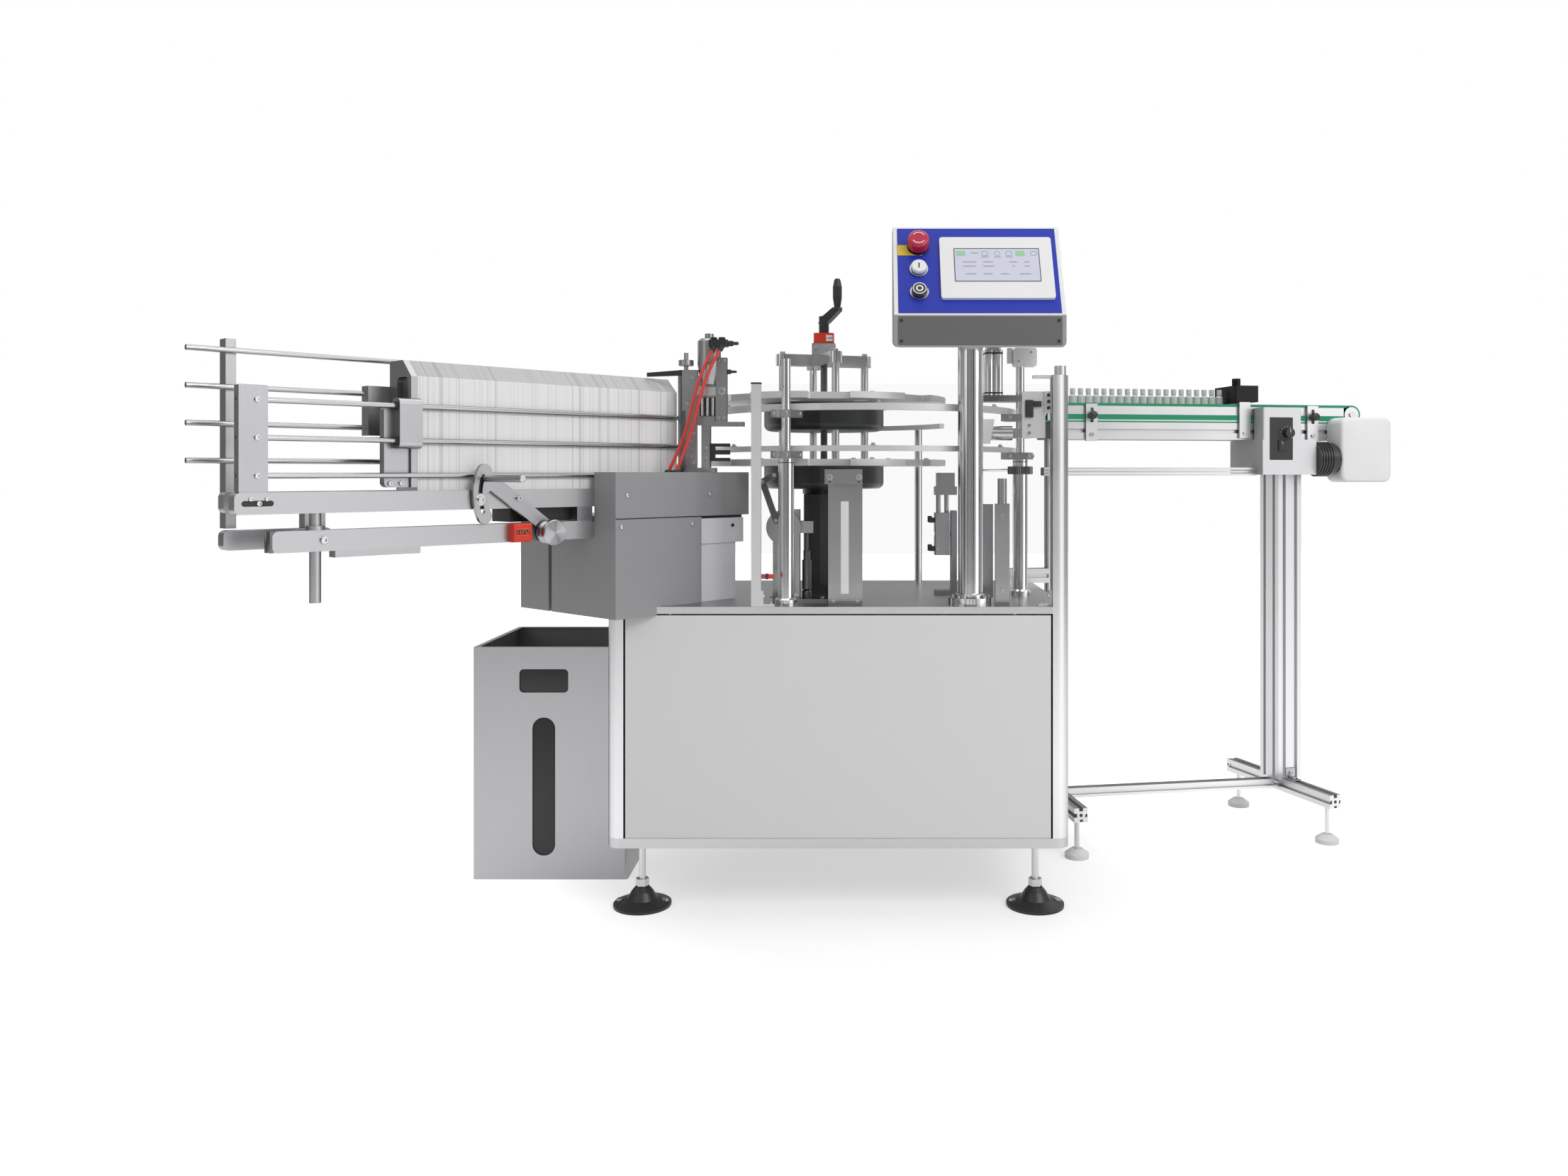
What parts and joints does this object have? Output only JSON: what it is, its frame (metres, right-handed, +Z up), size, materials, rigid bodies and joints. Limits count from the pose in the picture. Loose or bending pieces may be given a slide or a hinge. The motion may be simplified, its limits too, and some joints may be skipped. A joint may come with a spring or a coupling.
{
  "type": "automatic vertical cartoner",
  "caption": "Automatic cartoner: cabinet with index turret and star wheels, angled carton magazine, operator panel, clear guard, reject bin and infeed belt conveyor",
  "frame": {"origin": "on the floor under the middle of the whole machine", "axes": "+X along the machine front to the conveyor end, +Y to the back, +Z up"},
  "size_m": [2.0636, 1.1614, 1.211],
  "materials": {
    "satin_steel": "satin brushed",
    "deck_steel": "polished sheet",
    "pale_panel": "pale grey sheet",
    "grey_cover": "mid grey satin",
    "post_aluminium": "anodised",
    "machined_aluminium": "machined",
    "chrome_bar": "bright",
    "black_steel": "black",
    "black_plastic": "moulded",
    "white_plastic": "moulded",
    "blue_panel": "satin",
    "screen": "gloss",
    "red_plastic": "moulded",
    "orange_plastic": "moulded",
    "clear_sheet": "clear",
    "carton_board": "coated board",
    "belt_green": "smooth belt",
    "bottle_plastic": "moulded",
    "tube_red": "air tube"
  },
  "bodies": {
    "machine": {"base_plate": "satin_steel", "corner_posts": "post_aluminium", "guard_column": "post_aluminium", "front_panel": "pale_panel", "back_panel": "pale_panel", "side_panels": "pale_panel", "deck_plate": "deck_steel", "levelling_feet": "black_plastic", "guard_bar": "post_aluminium", "guard_sheet": "clear_sheet", "panel_post": "chrome_bar", "panel_box": "pale_panel", "face_plate": "blue_panel", "touch_screen": "screen", "index_gearbox": "black_steel", "guide_columns": "chrome_bar", "column_clamps": "machined_aluminium", "upper_guide_ring": "machined_aluminium", "lower_guide_ring": "machined_aluminium", "front_bracket": "machined_aluminium", "deck_cylinders": "black_steel", "exit_chute": "white_plastic", "carton_beams": "post_aluminium", "lower_beam": "post_aluminium", "beam_links": "machined_aluminium", "magazine_end_bars": "machined_aluminium", "magazine_rods": "chrome_bar", "carton_stack": "carton_board", "magazine_counter": "orange_plastic", "upper_cover": "grey_cover", "lower_cover": "grey_cover", "picker": "machined_aluminium", "picker_fork": "black_plastic", "air_tubes": "tube_red", "reject_bin": "satin_steel", "conveyor_belt": "belt_green", "conveyor_bed": "post_aluminium", "conveyor_support": "post_aluminium", "drive_box": "white_plastic", "stand_columns": "post_aluminium", "foot_bars": "post_aluminium", "stand_bars": "post_aluminium", "stand_feet": "black_plastic", "drive_motor": "black_steel", "motor_cover": "white_plastic", "bottles": "bottle_plastic"},
    "turret": {"lower_star": "machined_aluminium", "lower_hub": "black_steel", "turret_frame": "chrome_bar", "height_indicator": "orange_plastic"},
    "star_lift": {"upper_star": "machined_aluminium", "upper_hub": "black_steel"},
    "crank_drive": {"crank": "black_plastic", "lead_screw": "chrome_bar"},
    "pusher_carriage": {"pusher": "machined_aluminium"},
    "magazine_clamp": {"magazine_knob": "machined_aluminium"},
    "speed_dial": {"speed_knob": "black_plastic"},
    "stop_head": {"emergency_stop": "red_plastic"},
    "start_head": {"start_button": "white_plastic"},
    "halt_head": {"stop_button": "black_plastic"}
  },
  "joints": [
    {"name": "turret_spin", "type": "hinge", "parent": "machine", "child": "turret", "pos_m": [-0.17364, 0.17579, 0.779], "axis": [0, 0, 1], "continuous": true},
    {"name": "height_crank", "type": "hinge", "parent": "turret", "child": "crank_drive", "pos_m": [-0.17364, 0.17579, 0.976], "axis": [0, 0, 1], "range_deg": [0, 4700]},
    {"name": "star_lift", "type": "slide", "parent": "turret", "child": "star_lift", "axis": [0, 0, 1], "range_m": [0, 0.052]},
    {"name": "pusher_slide", "type": "slide", "parent": "machine", "child": "pusher_carriage", "axis": [0.6691, 0.7431, 0], "range_m": [-0.14, 0]},
    {"name": "magazine_knob_turn", "type": "hinge", "parent": "machine", "child": "magazine_clamp", "pos_m": [-0.62091, -0.22766, 0.669], "axis": [0.7431, -0.6691, 0], "continuous": true},
    {"name": "speed_turn", "type": "hinge", "parent": "machine", "child": "speed_dial", "pos_m": [0.79996, 0.33004, 0.85], "axis": [0.1685, -0.9857, 0], "range_deg": [0, 270]},
    {"name": "stop_press", "type": "slide", "parent": "machine", "child": "stop_head", "axis": [0, -0.8849, 0.4657], "range_m": [-0.004, 0], "stiffness_N_per_m": 2000},
    {"name": "start_press", "type": "slide", "parent": "machine", "child": "start_head", "axis": [0, -0.8849, 0.4657], "range_m": [-0.004, 0], "stiffness_N_per_m": 1500},
    {"name": "halt_press", "type": "slide", "parent": "machine", "child": "halt_head", "axis": [0, -0.8849, 0.4657], "range_m": [-0.004, 0], "stiffness_N_per_m": 1500}
  ],
  "couplings": [
    {"joint": "height_crank", "follows": "star_lift", "rad_per_m": 1570.8}
  ]
}
